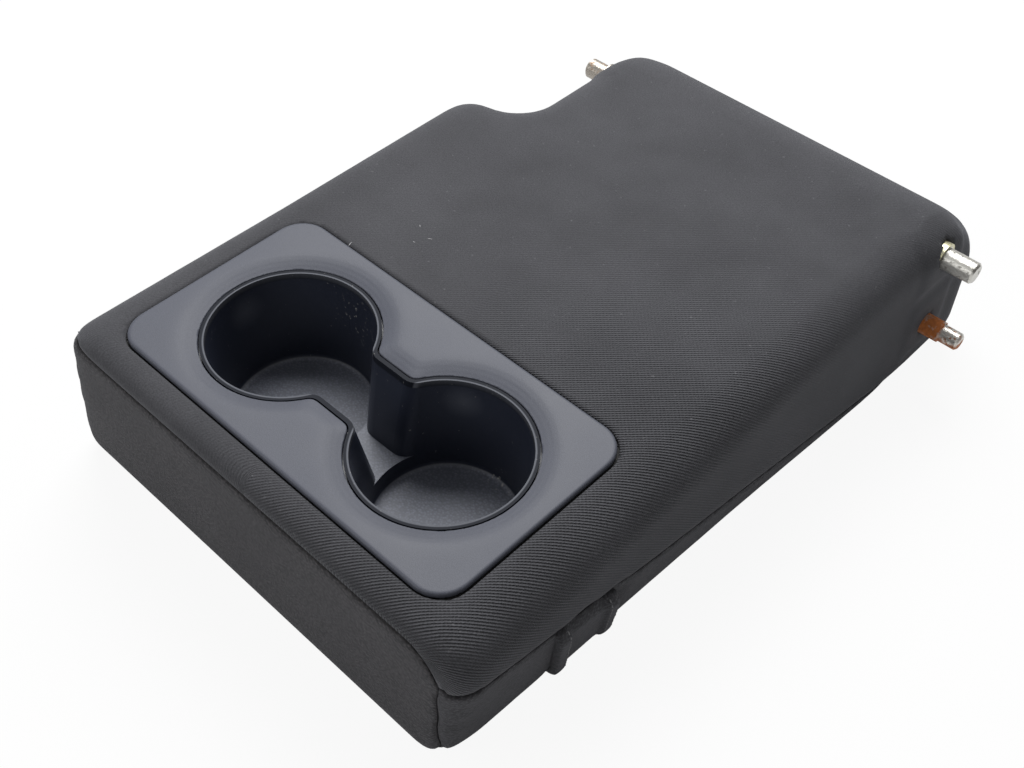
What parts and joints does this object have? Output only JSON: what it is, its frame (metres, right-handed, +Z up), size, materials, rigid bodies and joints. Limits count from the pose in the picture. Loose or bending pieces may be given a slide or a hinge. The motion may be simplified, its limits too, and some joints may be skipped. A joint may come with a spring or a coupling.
{
  "type": "rear seat armrest",
  "caption": "Fold-down rear seat armrest: a fabric-covered pad with a joined cup holder let into its front, a notch in one rear side, and steel pivot and stop pins.",
  "frame": {"origin": "middle of the underside, on the table it lies on", "axes": "+X toward the side with no notch, +Y toward the hinge end, +Z up through the cup openings"},
  "size_m": [0.2849, 0.3704, 0.097],
  "materials": {
    "rib_fabric": "ribbed woven seat fabric, laminated with thin foam",
    "plain_fabric": "smooth knitted seat fabric, laminated with thin foam",
    "strap_fabric": "folded hems, topstitched",
    "foam": "moulded open-cell polyurethane foam",
    "strip_plastic": "extruded",
    "frame_steel": "black dip coat",
    "plate_steel": "black dip coat",
    "pivot_zinc": "zinc plated, dull and specked",
    "stop_zinc": "zinc plated, rusted at the foot",
    "bush_zinc": "yellow zinc plated",
    "screw_zinc": "zinc plated",
    "tub_plastic": "smooth, floors finely textured",
    "bezel_plastic": "satin, fine grain"
  },
  "bodies": {
    "root": {"cover_top": "rib_fabric", "cover_front": "plain_fabric", "cover_under": "plain_fabric", "cover_strap": "strap_fabric", "foam_pad": "foam", "closing_strip_front": "strip_plastic", "closing_strip_rear": "strip_plastic", "frame_rod": "frame_steel", "cross_rod": "frame_steel", "rear_cross_tube": "frame_steel", "hinge_plate_right": "plate_steel", "hinge_plate_left": "plate_steel", "pivot_pin_right": "pivot_zinc", "pivot_pin_left": "pivot_zinc", "stop_pin_right": "stop_zinc", "stop_pin_left": "stop_zinc", "pivot_bush_right": "bush_zinc", "pivot_bush_left": "bush_zinc", "mount_tabs": "plate_steel", "tub_screws": "screw_zinc", "cup_tub": "tub_plastic", "cup_bezel": "bezel_plastic"}
  },
  "joints": []
}
